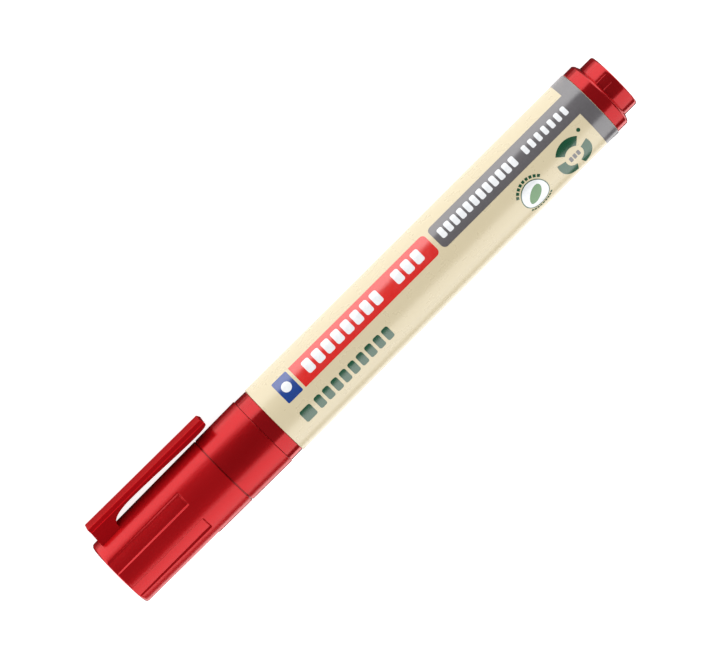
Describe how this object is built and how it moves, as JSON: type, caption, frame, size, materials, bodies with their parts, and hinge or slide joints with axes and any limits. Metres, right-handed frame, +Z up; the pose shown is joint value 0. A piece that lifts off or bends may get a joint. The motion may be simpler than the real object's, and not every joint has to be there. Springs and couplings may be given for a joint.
{
  "type": "whiteboard marker",
  "caption": "Capped dry-wipe marker: push-on cap with a pocket clip, felt nib in a holder, round barrel with an ink reservoir, and an end plug.",
  "frame": {"origin": "on the surface that the marker lies on, under the middle of its length and width", "axes": "+X along the marker from the cap's closed end to the end plug, +Z up; the clip points to +Y and 30 degrees below the level of the marker's axis"},
  "size_m": [0.138, 0.0194, 0.0165],
  "materials": {
    "red_plastic": "moulded polypropylene, semi-gloss",
    "barrel_plastic": "moulded cream polypropylene, semi-gloss",
    "liner_plastic": "soft natural polyethylene, satin",
    "nib_felt": "pressed acrylic felt, wet with red ink",
    "reservoir_fibre": "bonded polyester fibre, wet with red ink",
    "reservoir_film": "thin translucent wrap",
    "print_red": "printed ink",
    "print_grey": "printed ink",
    "print_green": "printed ink",
    "print_blue": "printed ink",
    "print_white": "printed ink"
  },
  "bodies": {
    "barrel": {"barrel": "barrel_plastic", "nib_holder": "red_plastic", "nib": "nib_felt", "reservoir_core": "reservoir_fibre", "reservoir_film": "reservoir_film", "end_plug": "red_plastic"},
    "inner_cap": {"inner_cap": "liner_plastic"},
    "cap": {"cap_shell": "red_plastic"},
    "clip": {"clip": "red_plastic"}
  },
  "joints": [
    {"name": "cap_pull", "type": "slide", "parent": "barrel", "child": "inner_cap", "axis": [-1, 0, 0], "range_m": [0, 0.045]},
    {"name": "cap_turn", "type": "hinge", "parent": "inner_cap", "child": "cap", "pos_m": [0, -0.00152, 0.00823], "axis": [1, 0, 0], "continuous": true},
    {"name": "clip_flex", "type": "hinge", "parent": "cap", "child": "clip", "pos_m": [-0.06185, 0.00766, 0.00293], "axis": [0, 0.5, 0.866], "range_deg": [0, 5], "stiffness_Nm_per_rad": 0.9}
  ]
}
